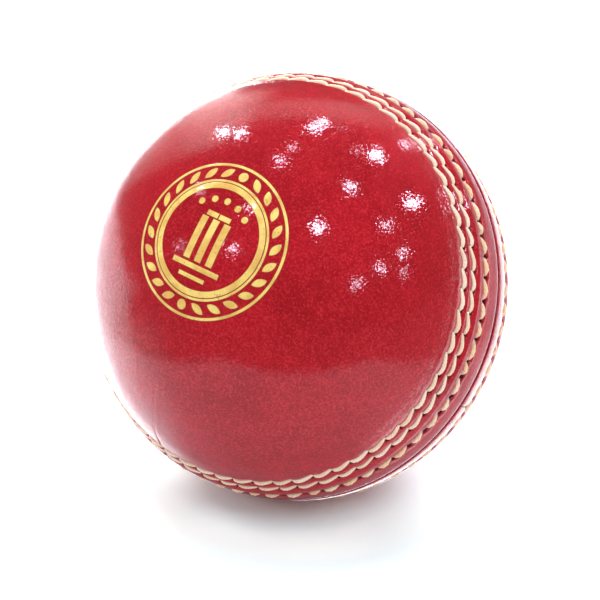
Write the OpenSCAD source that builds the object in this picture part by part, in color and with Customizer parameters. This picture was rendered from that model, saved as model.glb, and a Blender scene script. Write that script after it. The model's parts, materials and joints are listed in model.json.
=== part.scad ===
// Cricket ball: wound cork and wool centre in a sewn four-piece leather case.
// Origin at the ball's centre, +Z up, the ball lying still on a level table.
// The seam's axis leans in the YZ plane, stamped cup towards -Y and up.

/* [Ball] */
// Diameter over the plain leather, away from the seam
ball_d = 72; // [71.4:0.1:73]
// Rise of the sewn lips over the plain leather, at the seam line
seam_rise = 0.7; // [0.4:0.05:0.9]
// Angle from the seam plane at which the raised band runs out
band_angle = 18.5; // [18.4:0.1:22]
// Lean of the seam's axis above level as the ball lies at rest
seam_tilt = 30.5; // [29:0.5:60]

/* [Leather case] */
// Thickness of the leather quarters
leather_t = 4; // [3.5:0.1:4.5]
// Thickness of each cup's lining
lining_t = 0.6; // [0.4:0.1:0.8]
// Width of the open line between the two lips
lip_gap = 0.3; // [0.1:0.05:0.5]
// Turn of the stamped cup's quarter seam about the seam's axis
quarter_turn = 68; // [0:1:180]

/* [Seam threads] */
// Angle of the outer grip row from the seam plane
outer_row_angle = 17.8; // [17.4:0.1:18.4]
// Angle of the inner grip row from the seam plane
inner_row_angle = 14.1; // [13.6:0.1:14.5]
// Angle of the closing row from the seam plane
closing_row_angle = 8.2; // [7:0.1:9]
// Stitches in each grip row
grip_stitches = 60; // [56:1:66]
// Stitches in each closing row
closing_stitches = 65; // [56:1:68]
// Thickness of the outer grip row's linen thread
outer_thread_d = 0.84; // [0.7:0.02:0.9]
// Thickness of the inner grip row's linen thread
inner_thread_d = 0.72; // [0.6:0.02:0.8]
// Thickness of the closing row's linen thread
closing_thread_d = 0.94; // [0.8:0.02:1]

/* [Centre] */
// Diameter of the moulded cork and rubber nucleus
nucleus_d = 28; // [26:1:30]
// Thickness of each of the four layers of cork slips
cork_t = 1.6; // [1.4:0.1:1.8]

/* [Stamp] */
// Radius of the stamp's outer ring
stamp_r = 13.1; // [11:0.1:13.5]
// Lean of the stamp's centre away from the seam's axis
stamp_lean = 6.5; // [0:0.1:7.5]
// Direction of that lean about the seam's axis
stamp_dir = 115; // [0:1:359]
// Turn of the stamp's pattern about its own centre
stamp_turn = -127; // [-180:1:180]
// Thickness of the gold foil
foil_t = 0.06; // [0.04:0.01:0.1]

/* [Hidden] */
$fn = 96;
R = ball_d / 2;
R_in = R - leather_t;
R_lin = R_in - lining_t;
fit = 0.02;                       // clearance between nested layers
// the raised band is a second, flatter arc that runs out at band_angle
band_c = (pow(R + seam_rise, 2) - R * R) / (2 * (R + seam_rise - R * cos(band_angle)));
band_rho = R + seam_rise - band_c;
function skin_r(a) = a >= band_angle ? R
    : band_c * cos(a) + sqrt(band_rho * band_rho - pow(band_c * sin(a), 2));
// layers of the centre, from the nucleus out to the lining
r0 = nucleus_d / 2;
wound = (R_lin - r0 - 4 * cork_t) / 6.5;   // wool left between the cork layers
function layer_in(i) = r0 + (i - 1) * (wound + cork_t);   // inside of winding i
function cork_in(i) = layer_in(i) + wound;                // inside of cork layer i

leather = [0.66, 0.10, 0.14];
linen = [0.96, 0.88, 0.72];
lip_linen = [0.95, 0.80, 0.52];
cork = [0.70, 0.52, 0.34];
wool = [0.88, 0.82, 0.70];
gold = [0.90, 0.72, 0.35];

// everything is drawn about the seam's axis and then laid down at its lean
module laid() { rotate([90 - seam_tilt, 0, 0]) children(); }

// ---- centre ----
module shell(ro, ri) { difference() { sphere(r = ro); sphere(r = ri); } }
module core_nucleus() { color([0.45, 0.33, 0.24]) laid() sphere(r = r0 - fit); }
module winding(i) { color(wool) laid() shell(cork_in(i) - fit, layer_in(i)); }
// one layer of cork slips: lunes laid side by side, pole to pole, on the winding
module slips(i) {
    n = 7 + i;
    color(cork) laid() rotate([35 * i, 50 * i, 0])
        for (k = [0 : n - 1]) rotate([0, 0, k * 360 / n])
            rotate_extrude(angle = 360 / n - 1.2) slip_section(i);
}
module slip_section(i) {
    difference() {
        circle(r = cork_in(i) + cork_t - fit);
        circle(r = cork_in(i));
        translate([-80 + 2, -40]) square(80);     // the slips stop short of the poles
    }
}
module worsted_outer_winding() { color(wool) laid() shell(R_lin - fit, layer_in(5)); }

// ---- leather case ----
module cup_half(up) { translate([-60, up > 0 ? -120 + lip_gap / 2 : -lip_gap / 2]) square(120); }
module row_slot(a, d, depth) {
    w = d / 2 + 0.06;
    rotate(a) translate([skin_r(a) - depth, 0]) {
        circle(r = w, $fn = 24);
        translate([0, -w]) square([depth + 3, 2 * w]);
    }
}
// section of one cup through the seam's axis, lip at the bottom
module cup_section() {
    difference() {
        union() { circle(r = R); translate([band_c, 0]) circle(r = band_rho); }
        circle(r = R_in);
        cup_half(1);
        translate([-120, -60]) square(120);
        row_slot(outer_row_angle, outer_thread_d, 0.5);
        row_slot(inner_row_angle, inner_thread_d, 0.5);
        row_slot(closing_row_angle, closing_thread_d, 0.5);
        translate([R + seam_rise + 0.15, 0]) circle(r = 0.6, $fn = 32);
    }
}
// a quarter is half a cup, cut along the quarter seam, with a pressed line outside
// and a shallow channel inside for the quarter seam's stitches
module quarter(half) {
    difference() {
        intersection() {
            rotate_extrude() cup_section();
            translate([-60, half > 0 ? 0.04 : -60, -1]) cube([120, 59.96, 61]);
        }
        rotate([90, 0, 0]) rotate_extrude() translate([R + 0.12, 0]) circle(r = 0.26, $fn = 24);
        rotate([90, 0, 0]) rotate_extrude(angle = 140, start = 20)
            translate([R_in - 1, -1.8]) square([1.62, 3.6]);
    }
}
module stamped_cup() { laid() rotate([0, 0, quarter_turn]) children(); }
module plain_cup() { laid() rotate([180, 0, quarter_turn + 90]) children(); }
module leather_quarter_stamped_left() { color(leather) stamped_cup() quarter(1); }
module leather_quarter_stamped_right() { color(leather) stamped_cup() quarter(-1); }
module leather_quarter_plain_upper() { color(leather) plain_cup() quarter(1); }
module leather_quarter_plain_lower() { color(leather) plain_cup() quarter(-1); }

module lining() {
    rotate_extrude() difference() {
        circle(r = R_in - fit);
        circle(r = R_lin);
        cup_half(1);
        translate([-120, -60]) square(120);
    }
}
module cup_lining_stamped() { color([0.80, 0.70, 0.56]) stamped_cup() lining(); }
module cup_lining_plain() { color([0.80, 0.70, 0.56]) plain_cup() lining(); }

// the quarter seam is sewn from inside: short stitches across the joint
module quarter_stitches() {
    for (a = [24 : 4 : 156]) rotate([0, -a, 0]) translate([R_in + 0.3, 0, 0])
        rotate([90, 0, 0]) cylinder(r = 0.26, h = 3.2, center = true, $fn = 24);
}
module quarter_thread_stamped() { color(linen) stamped_cup() quarter_stitches(); }
module quarter_thread_plain() { color(linen) plain_cup() quarter_stitches(); }

// ---- seam threads ----
// one row of stitches: each is an arch whose ends dive into the row's slot
module stitch_row(a, d, n, rise, cover) {
    pitch = 2 * PI * skin_r(a) * cos(a) / n;
    half = pitch / 2 * cover;                 // half the chord of the arch's centre line
    rho = (half * half + rise * rise) / (2 * rise);
    ha = asin(half / rho);
    for (k = [0 : n - 1]) rotate([0, 0, k * 360 / n]) rotate([0, -a, 0])
        translate([skin_r(a) - 0.5 + rise - rho, 0, 0])
            rotate_extrude(angle = 2 * ha, start = -ha)
                translate([rho, 0]) circle(r = d / 2, $fn = 24);
}
module outer_grip_row() { stitch_row(outer_row_angle, outer_thread_d, grip_stitches, 0.36, 0.86); }
module inner_grip_row() { stitch_row(inner_row_angle, inner_thread_d, grip_stitches, 0.34, 0.86); }
module closing_row() { stitch_row(closing_row_angle, closing_thread_d, closing_stitches, 0.36, 0.74); }
module stamped_side() { laid() children(); }
module plain_side() { laid() rotate([180, 0, 0]) children(); }
module closing_row_stamped() { color(lip_linen) stamped_side() closing_row(); }
module closing_row_plain() { color(lip_linen) plain_side() closing_row(); }
module inner_grip_row_stamped() { color(linen) stamped_side() inner_grip_row(); }
module inner_grip_row_plain() { color(linen) plain_side() inner_grip_row(); }
module outer_grip_row_stamped() { color(linen) stamped_side() outer_grip_row(); }
module outer_grip_row_plain() { color(linen) plain_side() outer_grip_row(); }

// ---- stamp ----
module ring2d(ro, ri) { difference() { circle(r = ro); circle(r = ri); } }
module leaf2d(l, w) {
    s = (l * l / 4 + w * w / 4) / w;          // radius of the two arcs of the leaf
    intersection() { translate([0, s - w / 2]) circle(r = s); translate([0, w / 2 - s]) circle(r = s); }
}
module bar2d(x, y, w, h) { translate([x - w / 2, y]) square([w, h]); }
module pattern2d() {
    k = stamp_r / 13.1;
    scale(k) {
        ring2d(13.1, 12.72);
        ring2d(10.15, 9.8);
        ring2d(9.6, 8.65);
        // laurel between the rings, open at the top and the foot
        for (s = [-1, 1], i = [0 : 10]) rotate(s * (15 + i * 15)) translate([0, 11.4])
            rotate(s * 35) leaf2d(2.5, 1.15);
        translate([0, 11.4]) circle(r = 0.8);
        rotate(180) translate([0, 11.4]) circle(r = 0.8);
        // wicket: three stumps, two bails and the two lines of the crease
        for (x = [-2.2, 0, 2.2]) bar2d(x, -4.2, 1.2, 7.4);
        bar2d(-1.2, 3.5, 2.1, 0.8);
        bar2d(1.2, 3.5, 2.1, 0.8);
        bar2d(0, -5.5, 9, 0.8);
        bar2d(0, -7.1, 5, 0.6);
        // five dots in an arc over the wicket
        for (a = [-40 : 20 : 40]) rotate(a) translate([0, 6.7]) circle(r = 0.55);
    }
}
module gold_foil_stamp() {
    color(gold) laid() rotate([0, 0, stamp_dir]) rotate([0, stamp_lean, 0]) rotate([0, 0, stamp_turn])
        intersection() {
            shell(R + foil_t, R + 0.005);
            linear_extrude(height = R + 5) pattern2d();
        }
}

core_nucleus();
winding(1);  // wool_winding_1
slips(1);  // cork_slips_1
winding(2);  // wool_winding_2
slips(2);  // cork_slips_2
winding(3);  // wool_winding_3
slips(3);  // cork_slips_3
winding(4);  // wool_winding_4
slips(4);  // cork_slips_4
worsted_outer_winding();
cup_lining_stamped();
cup_lining_plain();
leather_quarter_stamped_left();
leather_quarter_stamped_right();
leather_quarter_plain_upper();
leather_quarter_plain_lower();
quarter_thread_stamped();
quarter_thread_plain();
closing_row_stamped();
closing_row_plain();
inner_grip_row_stamped();
inner_grip_row_plain();
outer_grip_row_stamped();
outer_grip_row_plain();
gold_foil_stamp();
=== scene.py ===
# A cricket ball: sewn and lacquered leather quarters, six rows of linen thread, a foil
# stamp, and the wound cork and wool centre. Lengths are worked out in mm and written in m.
import bpy
import json
import math
import numpy as np
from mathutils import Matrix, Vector

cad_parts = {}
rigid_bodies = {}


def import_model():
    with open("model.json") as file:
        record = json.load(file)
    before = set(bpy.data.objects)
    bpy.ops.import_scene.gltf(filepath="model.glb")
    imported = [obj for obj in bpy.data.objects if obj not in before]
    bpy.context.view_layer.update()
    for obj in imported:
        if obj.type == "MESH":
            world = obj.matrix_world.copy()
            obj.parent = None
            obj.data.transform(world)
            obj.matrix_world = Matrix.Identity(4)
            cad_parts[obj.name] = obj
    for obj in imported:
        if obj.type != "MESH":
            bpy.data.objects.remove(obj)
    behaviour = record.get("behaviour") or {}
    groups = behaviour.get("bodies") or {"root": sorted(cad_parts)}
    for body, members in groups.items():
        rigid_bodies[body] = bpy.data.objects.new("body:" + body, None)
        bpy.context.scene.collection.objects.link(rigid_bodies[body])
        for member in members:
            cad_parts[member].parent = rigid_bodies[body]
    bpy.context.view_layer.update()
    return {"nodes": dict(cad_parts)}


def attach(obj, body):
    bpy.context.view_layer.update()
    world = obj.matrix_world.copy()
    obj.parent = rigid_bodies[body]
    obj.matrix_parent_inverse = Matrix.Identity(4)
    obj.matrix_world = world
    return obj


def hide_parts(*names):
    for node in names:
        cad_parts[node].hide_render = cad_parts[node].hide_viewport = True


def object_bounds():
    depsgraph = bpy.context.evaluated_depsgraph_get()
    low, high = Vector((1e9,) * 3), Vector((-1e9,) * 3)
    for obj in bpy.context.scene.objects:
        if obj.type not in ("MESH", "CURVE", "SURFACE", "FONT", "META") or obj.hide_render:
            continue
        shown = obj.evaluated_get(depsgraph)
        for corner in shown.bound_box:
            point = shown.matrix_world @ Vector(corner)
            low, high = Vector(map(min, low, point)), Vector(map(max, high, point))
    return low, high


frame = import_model()


def as_list(box):
    return [[float(c) for c in corner] for corner in box]


MM = 0.001
RAD = math.pi / 180.0

# ---------------------------------------------------------------- shared dimensions (mm)
R = 36.0                 # plain leather
RISE = 0.7               # lips over the plain leather
BAND = 18.5 * RAD        # where the raised band runs out
TILT = 30.5 * RAD        # the seam's axis above level
R_IN = 32.0              # inside of the leather
LIP = 0.13               # half the open line between the lips
QUARTER_TURN = 68.0 * RAD
N_GRIP, N_CLOSE = 60, 65
ROWS = {                 # name: arc from the seam plane, thread radius, stitches
    "outer": (17.8 * RAD * R, 0.41, N_GRIP),
    "inner": (14.1 * RAD * R, 0.355, N_GRIP),
    "closing": (8.2 * RAD * R, 0.47, N_CLOSE),
}
BC = ((R + RISE) ** 2 - R * R) / (2 * (R + RISE - R * math.cos(BAND)))
BRHO = R + RISE - BC

# the seam's frame: z is the seam's axis, laid down at the ball's lean
_a = math.pi / 2 - TILT
LAID = np.array([[1, 0, 0], [0, math.cos(_a), -math.sin(_a)], [0, math.sin(_a), math.cos(_a)]])


def rot_y(a):
    return np.array([[math.cos(a), 0, math.sin(a)], [0, 1, 0], [-math.sin(a), 0, math.cos(a)]])


def rot_z(a):
    return np.array([[math.cos(a), -math.sin(a), 0], [math.sin(a), math.cos(a), 0], [0, 0, 1]])


def smooth(e0, e1, x):
    t = np.clip((x - e0) / (e1 - e0), 0, 1)
    return t * t * (3 - 2 * t)


def skin_r(phi):
    phi = np.asarray(phi, float)
    band = BC * np.cos(phi) + np.sqrt(BRHO ** 2 - (BC * np.sin(np.minimum(phi, BAND))) ** 2)
    return np.where(phi >= BAND, R, np.where(band > R, band, R))


# ---------------------------------------------------------------- seeded value noise
def _hash(ix, iy, iz, seed):
    h = (ix * 374761393 + iy * 668265263 + iz * 974634777 + seed * 362437) & 0xFFFFFFFF
    h = ((h ^ (h >> 13)) * 1274126177) & 0xFFFFFFFF
    h = ((h ^ (h >> 15)) * 668265263) & 0xFFFFFFFF
    h = h ^ (h >> 16)
    return (h & 0xFFFF) / 32767.5 - 1.0


def noise3(p, wave, seed=0):
    q = p / wave + 1000.0
    i = np.floor(q).astype(np.int64)
    f = q - i
    f = f * f * f * (f * (f * 6 - 15) + 10)
    out = 0.0
    for dx in (0, 1):
        for dy in (0, 1):
            for dz in (0, 1):
                w = ((f[..., 0] if dx else 1 - f[..., 0]) * (f[..., 1] if dy else 1 - f[..., 1])
                     * (f[..., 2] if dz else 1 - f[..., 2]))
                out = out + w * _hash(i[..., 0] + dx, i[..., 1] + dy, i[..., 2] + dz, seed)
    return out


# ---------------------------------------------------------------- the stitches' layout
# Each grip stitch leaves its hole on the side away from the seam, swells towards the seam
# in the middle, and dives into the next hole. u runs with azimuth, from 0 to 1.
#            u, sideways (+ away from the seam), height over the leather, thickness factor
GRIP_PATH = np.array([
    [-0.020, -0.22, -1.10, 0.60], [0.010, -0.22, -0.70, 0.78], [0.075, -0.20, -0.32, 0.95],
    [0.18, -0.26, -0.20, 1.08], [0.36, -0.29, -0.16, 1.15], [0.56, -0.12, -0.16, 1.08],
    [0.76, 0.14, -0.16, 0.92], [0.91, 0.32, -0.18, 0.76], [1.01, 0.34, -0.42, 0.62],
    [1.06, 0.26, -1.00, 0.55]])
CLOSE_PATH = np.array([
    [-0.02, -0.20, -1.10, 0.50], [0.03, -0.20, -0.68, 0.62], [0.12, -0.19, -0.32, 0.82],
    [0.28, -0.15, -0.16, 1.04], [0.48, -0.05, -0.12, 1.08], [0.68, 0.08, -0.16, 0.88],
    [0.86, 0.18, -0.30, 0.62], [0.97, 0.20, -0.60, 0.48], [1.02, 0.20, -1.05, 0.42]])


def catmull(ctrl, n):
    """n points along a smooth curve through the control rows, evenly spread by length."""
    c = np.vstack([2 * ctrl[0] - ctrl[1], ctrl, 2 * ctrl[-1] - ctrl[-2]])
    out = []
    for i in range(1, len(c) - 2):
        t = np.linspace(0, 1, 16, endpoint=False)[:, None]
        p0, p1, p2, p3 = c[i - 1], c[i], c[i + 1], c[i + 2]
        out.append(0.5 * (2 * p1 + (p2 - p0) * t + (2 * p0 - 5 * p1 + 4 * p2 - p3) * t ** 2
                          + (3 * p1 - p0 - 3 * p2 + p3) * t ** 3))
    out = np.vstack(out + [c[-2][None]])
    step = np.linalg.norm(np.diff(out[:, :3] * [3.6, 1, 1], axis=0), axis=1)
    s = np.r_[0, np.cumsum(step)]
    want = np.linspace(0, s[-1], n)
    return np.stack([np.interp(want, s, out[:, k]) for k in range(out.shape[1])], 1)


def layout(side, row):
    """Where each hole of one row is, and how its stitches differ from one another."""
    arc, rad, n = ROWS[row]
    rng = np.random.default_rng({"outer": 11, "inner": 23, "closing": 37}[row] + (500 if side < 0 else 0))
    pitch = 2 * math.pi / n
    phase = {"outer": -3.6, "inner": -3.4, "closing": -3.9}[row] * RAD + (0.9 if side < 0 else 0.0)
    shake = 0.045 if row != "closing" else 0.07
    az = phase + pitch * (np.arange(n) + rng.normal(0, shake, n))
    side_w = rng.normal(0, 0.05 if row != "closing" else 0.11, n)
    return {"arc": arc, "rad": rad, "n": n, "pitch": pitch, "phase": phase, "az": az, "w": side_w,
            "fat": 1 + rng.normal(0, 0.045, n), "lift": rng.normal(0, 0.03, n),
            "lean": rng.normal(0, 0.05, n), "turn": rng.uniform(0, 6.28, n),
            "short0": np.clip(rng.normal(0.075, 0.04, n), 0.02, 0.16) if row == "closing" else np.zeros(n),
            "short1": np.clip(rng.normal(0.075, 0.04, n), 0.02, 0.16) if row == "closing" else np.zeros(n),
            "tone": rng.uniform(0, 1, n), "path": CLOSE_PATH if row == "closing" else GRIP_PATH}


LAY = {(s, r): layout(s, r) for s in (1, -1) for r in ROWS}


def leather_shape(side, az, phi, p_unit):
    """Radius of the leather at azimuth az and angle phi from the seam, and how far it lies
    in a crease, a hole or a seam line (0 to 1), which sets the painted shade there."""
    y = phi * R
    r = skin_r(phi)
    d = np.zeros_like(y)
    recess_shade = np.zeros_like(y)
    seed = 5 if side > 0 else 9
    p = p_unit * R
    # slow unevenness of hand-formed hide, calmer on the lips
    calm = 0.35 + 0.65 * smooth(6, 15, y)
    d += calm * (0.055 * noise3(p, 17.0, seed) + 0.028 * noise3(p, 8.0, seed + 1)
                 + 0.010 * noise3(p, 3.6, seed + 2))
    near = y < 16.0
    yn, azn = y[near], az[near]
    dn = np.zeros_like(yn)
    # cn is painted shade: it darkens the stitch channels, the holes and the open seam line
    cn = np.zeros_like(yn)
    ao, ai, ac = ROWS["outer"][0], ROWS["inner"][0], ROWS["closing"][0]
    # beads of leather between the rows, and the roll of the lip
    dn += 0.11 * np.exp(-((yn - (ao + ai) / 2) / 0.55) ** 2)
    dn += 0.25 * np.exp(-((yn - (ai + ac) / 2 - 0.1) / 0.95) ** 2)
    dn += 0.04 * np.exp(-((yn - ac * 0.50) / 1.1) ** 2)
    dn += 0.04 * np.exp(-((yn - ao - 1.15) / 0.75) ** 2)
    for row in ROWS:
        L = LAY[(side, row)]
        k = np.floor((azn - L["phase"]) / L["pitch"]).astype(int)
        hole_rad = 0.26 if row != "closing" else 0.30
        best = np.full(yn.shape, 9.0)
        for dk in (-1, 0, 1, 2):
            kk = (k + dk) % L["n"]
            turn = (k + dk - kk) / L["n"] * 2 * math.pi
            hx = (azn - (L["az"][kk] + turn)) * R * np.cos(yn / R)
            hy = yn - (L["arc"] + L["w"][kk] - (0.24 if row != "closing" else 0.20))
            best = np.minimum(best, np.sqrt((hx / 1.25) ** 2 + hy ** 2))
            # the stitch that starts at this hole presses its own channel into the leather
            k2 = (kk + 1) % L["n"]
            a0 = L["az"][kk] + turn
            a1 = L["az"][k2] + turn + np.where(k2 < kk, 2 * math.pi, 0.0)
            u = (azn - a0) / (a1 - a0)
            inside = (u > -0.02) & (u < 1.02)
            w0 = np.interp(u, L["path"][:, 0], L["path"][:, 1]) * (1 if row != "closing" else 1.0)
            yc = L["arc"] + (1 - u) * L["w"][kk] + u * L["w"][k2] + w0
            q = np.exp(-((yn - yc) / (L["rad"] * 1.05)) ** 2)
            dn -= np.where(inside, (0.27 if row != "closing" else 0.29) * q, 0)
            # painted shade along the channel under each stitch
            cn = np.maximum(cn, np.where(inside, 0.55 * np.exp(-((yn - yc) / (L["rad"] * 1.25)) ** 4), 0))
        dn -= 0.18 * np.exp(-(best / 0.60) ** 2)
        dn -= 0.75 * smooth(hole_rad + 0.16, hole_rad - 0.10, best)
        # painted shade in and round each hole
        cn = np.maximum(cn, smooth(hole_rad + 0.34, hole_rad - 0.02, best))
    # the lips turn down into the seam line, and painted shade darkens the open line between them
    dn -= 0.62 * np.exp(-((yn - LIP) / 0.24) ** 2) + 0.02 * np.exp(-(yn / 0.9) ** 2)
    cn = np.maximum(cn, np.exp(-((yn - LIP) / 0.30) ** 2))
    d[near] += dn
    recess_shade[near] = cn
    # pressed line of the quarter seam, with painted shade along it
    turn = QUARTER_TURN if side > 0 else QUARTER_TURN + math.pi / 2
    across = np.abs(np.cos(phi) * np.sin(az - turn)) * R
    # it closes up towards the pole, and opens most where one end runs under the grip rows
    open_end = smooth(20.0, 12.5, y) * (0.5 - 0.5 * np.cos(az - turn))
    d += (-(0.008 + 0.100 * open_end) * np.exp(-(across / 0.22) ** 2)
          + 0.006 * np.exp(-((across - 0.75) / 0.5) ** 2))
    recess_shade = np.maximum(recess_shade, (0.07 + 0.88 * open_end) * np.exp(-(across / 0.15) ** 2))
    return r + d, np.clip(recess_shade, 0, 1)


def unit(side, az, phi):
    return np.stack([np.cos(phi) * np.cos(az), np.cos(phi) * np.sin(az), side * np.sin(phi)], -1)


# ---------------------------------------------------------------- mesh helpers
def make_piece(name, verts, faces, mats, smooth_shade=True, sharp=None, attrs=None):
    """verts in mm in the seam's frame."""
    v = (np.asarray(verts) @ LAID.T) * MM
    me = bpy.data.meshes.new(name)
    quads = np.asarray([f for f in faces if len(f) == 4], dtype=np.int32) if not isinstance(faces, tuple) else faces[0]
    tris = np.asarray([f for f in faces if len(f) == 3], dtype=np.int32) if not isinstance(faces, tuple) else faces[1]
    quads = np.asarray(quads, dtype=np.int32).reshape(-1, 4)
    tris = np.asarray(tris, dtype=np.int32).reshape(-1, 3)
    me.vertices.add(len(v))
    me.vertices.foreach_set("co", v.astype(np.float32).ravel())
    me.loops.add(quads.size + tris.size)
    me.loops.foreach_set("vertex_index", np.concatenate([quads.ravel(), tris.ravel()]))
    me.polygons.add(len(quads) + len(tris))
    starts = np.concatenate([np.arange(len(quads)) * 4, quads.size + np.arange(len(tris)) * 3])
    me.polygons.foreach_set("loop_start", starts.astype(np.int32))
    me.update(calc_edges=True)
    me.validate(clean_customdata=False)
    if smooth_shade:
        me.polygons.foreach_set("use_smooth", np.ones(len(me.polygons), dtype=bool))
        if sharp:
            me.set_sharp_from_angle(angle=sharp)
    for key, (kind, data) in (attrs or {}).items():
        at = me.attributes.new(key, kind, "POINT")
        at.data.foreach_set("value" if kind == "FLOAT" else "vector", np.asarray(data, dtype=np.float32).ravel())
    for m in mats:
        me.materials.append(m)
    o = bpy.data.objects.new(name, me)
    bpy.context.scene.collection.objects.link(o)
    return o


def join_rings(quads, tris, a, b, flip):
    """Faces between two open rings of indices; b has as many points as a, or half the steps."""
    na, nb = len(a) - 1, len(b) - 1
    if na == nb:
        q = np.stack([a[:-1], a[1:], b[1:], b[:-1]], 1)
        quads.append(q[:, ::-1] if flip else q)
        return
    assert na == 2 * nb, (na, nb)
    t = np.concatenate([np.stack([a[0:-2:2], a[1:-1:2], b[:-1]], 1),
                        np.stack([a[1:-1:2], b[1:], b[:-1]], 1),
                        np.stack([a[1:-1:2], a[2::2], b[1:]], 1)])
    tris.append(t[:, ::-1] if flip else t)


def join_lines(tris, a, b, ta, tb, flip):
    """Triangles between two polylines with different counts, advanced by their parameters."""
    i = j = 0
    out = []
    while i < len(a) - 1 or j < len(b) - 1:
        if j >= len(b) - 1 or (i < len(a) - 1 and ta[i + 1] <= tb[j + 1]):
            out.append((a[i], a[i + 1], b[j]))
            i += 1
        else:
            out.append((a[i], b[j + 1], b[j]))
            j += 1
    t = np.array(out)
    tris.append(t[:, ::-1] if flip else t)


# ---------------------------------------------------------------- leather quarters
def outer_arcs():
    """Arc lengths from the seam plane for the rows of vertices, and the steps in each row."""
    def run(a, b, step):
        return list(np.arange(a, b - step * 0.3, step))
    arcs = [0.13, 0.17, 0.21, 0.26, 0.32, 0.39, 0.48, 0.6, 0.76, 0.96, 1.2, 1.5, 1.84, 2.2, 2.56, 2.92, 3.28,
            3.62, 3.92, 4.14]
    arcs += run(4.3, 6.1, 0.115) + run(6.1, 7.75, 0.19) + run(7.75, 12.2, 0.118)
    arcs += [12.2, 12.36, 12.55, 12.78, 13.05, 13.38, 13.76, 14.2]
    steps = [720] * len(arcs)
    end = math.pi / 2 * R
    for lo, hi, n, gap in ((14.65, 37.0, 360, 0.5), (37.4, 47.0, 180, 0.55), (47.5, 55.9, 90, 0.6)):
        a = run(lo, hi, gap)
        arcs += a
        steps += [n] * len(a)
    # 90 steps go down to 45 just before the pole
    arcs.append(end - 0.35)
    steps.append(45)
    return np.array(arcs), steps


def quarter(name, side, half, mat):
    turn = QUARTER_TURN if side > 0 else QUARTER_TURN + math.pi / 2
    start = turn if half > 0 else turn + math.pi
    arcs, steps = outer_arcs()
    verts, rings, recess_shade_all, in_all = [], [], [], []
    count = 0
    shift = np.array([-math.sin(start), math.cos(start), 0.0]) * 0.004

    def ring(az, phi, rad, recess_shade=None):
        nonlocal count
        verts.append(unit(side, az, phi) * rad[:, None] + shift)
        recess_shade_all.append(recess_shade if recess_shade is not None else np.zeros_like(az))
        in_all.append(np.full(len(az), 1.0 if recess_shade is None else 0.0))
        ids = np.arange(count, count + len(az))
        count += len(az)
        return ids

    for y, n in zip(arcs, steps):
        az = start + np.linspace(0, math.pi, n + 1)
        phi = np.full(n + 1, y / R)
        rad, recess_shade = leather_shape(side, az, phi, unit(side, az, phi))
        rings.append(ring(az, phi, rad, recess_shade))
    pole_r, _ = leather_shape(side, np.array([start]), np.array([math.pi / 2]), np.array([[0, 0, float(side)]]))
    pole = ring(np.array([start]), np.array([math.pi / 2]), pole_r, np.array([0.3]))[0]
    flip = side < 0
    quads, tris = [], []
    for a, b in zip(rings[:-1], rings[1:]):
        join_rings(quads, tris, a, b, flip)
    last = rings[-1]
    fan = np.stack([last[:-1], last[1:], np.full(len(last) - 1, pole)], 1)
    tris.append(fan[:, ::-1] if flip else fan)
    # the lip's wall, then the inside of the cup
    inner = []
    for rad0, n in ((R - 0.1, 720), (R - 0.9, 360), (R - 2.0, 180), (R - 3.2, 90), (R_IN, 90)):
        az = start + np.linspace(0, math.pi, n + 1)
        inner.append(ring(az, np.full(n + 1, math.asin(LIP / rad0)), np.full(n + 1, rad0)))
    for phi0, n in [(a * RAD, 90) for a in range(5, 75, 5)] + [(78 * RAD, 45), (84 * RAD, 45)]:
        az = start + np.linspace(0, math.pi, n + 1)
        inner.append(ring(az, np.full(n + 1, phi0), np.full(n + 1, R_IN)))
    chain = [rings[0]] + inner
    for a, b in zip(chain[:-1], chain[1:]):
        join_rings(quads, tris, a, b, not flip)
    pole_in = ring(np.array([start]), np.array([math.pi / 2]), np.array([R_IN]))[0]
    last = inner[-1]
    fan = np.stack([last[:-1], last[1:], np.full(len(last) - 1, pole_in)], 1)
    tris.append(fan if flip else fan[:, ::-1])
    # the two cut edges meet at the pole: one flat face from lip to lip
    walls = inner[:5]
    o0 = [w[0] for w in reversed(walls[:-1])] + [r[0] for r in rings] + [pole] + [r[-1] for r in reversed(rings)] \
        + [w[-1] for w in walls[:-1]]
    i0 = [r[0] for r in inner[4:]] + [pole_in] + [r[-1] for r in reversed(inner[4:])]
    allv = np.concatenate(verts)

    def param(ids):
        p = allv[ids]
        x = p @ np.array([math.cos(start), math.sin(start), 0.0])
        return np.arctan2(p[:, 2] * side, -x)
    po, pi_ = -param(o0), -param(i0)
    po = (po - po[0]) / (po[-1] - po[0])
    pi_ = (pi_ - pi_[0]) / (pi_[-1] - pi_[0])
    po, pi_ = np.maximum.accumulate(po), np.maximum.accumulate(pi_)
    join_lines(tris, o0, i0, po, pi_, flip)
    o = make_piece(name, allv, (np.concatenate(quads), np.concatenate(tris)), [mat], sharp=60 * RAD,
                   attrs={"recess_shade": ("FLOAT", np.concatenate(recess_shade_all)), "inside": ("FLOAT", np.concatenate(in_all))})
    return o


# ---------------------------------------------------------------- thread
def leather_top(side, az, phi):
    """The leather under a stitch, without its channel and holes."""
    y = phi * R
    ao, ai, ac = ROWS["outer"][0], ROWS["inner"][0], ROWS["closing"][0]
    return (skin_r(phi) + 0.11 * np.exp(-((y - (ao + ai) / 2) / 0.55) ** 2)
            + 0.25 * np.exp(-((y - (ai + ac) / 2 - 0.1) / 0.95) ** 2)
            + 0.04 * np.exp(-((y - ac * 0.50) / 1.1) ** 2) + 0.04 * np.exp(-((y - ao - 1.15) / 0.75) ** 2))


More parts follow.
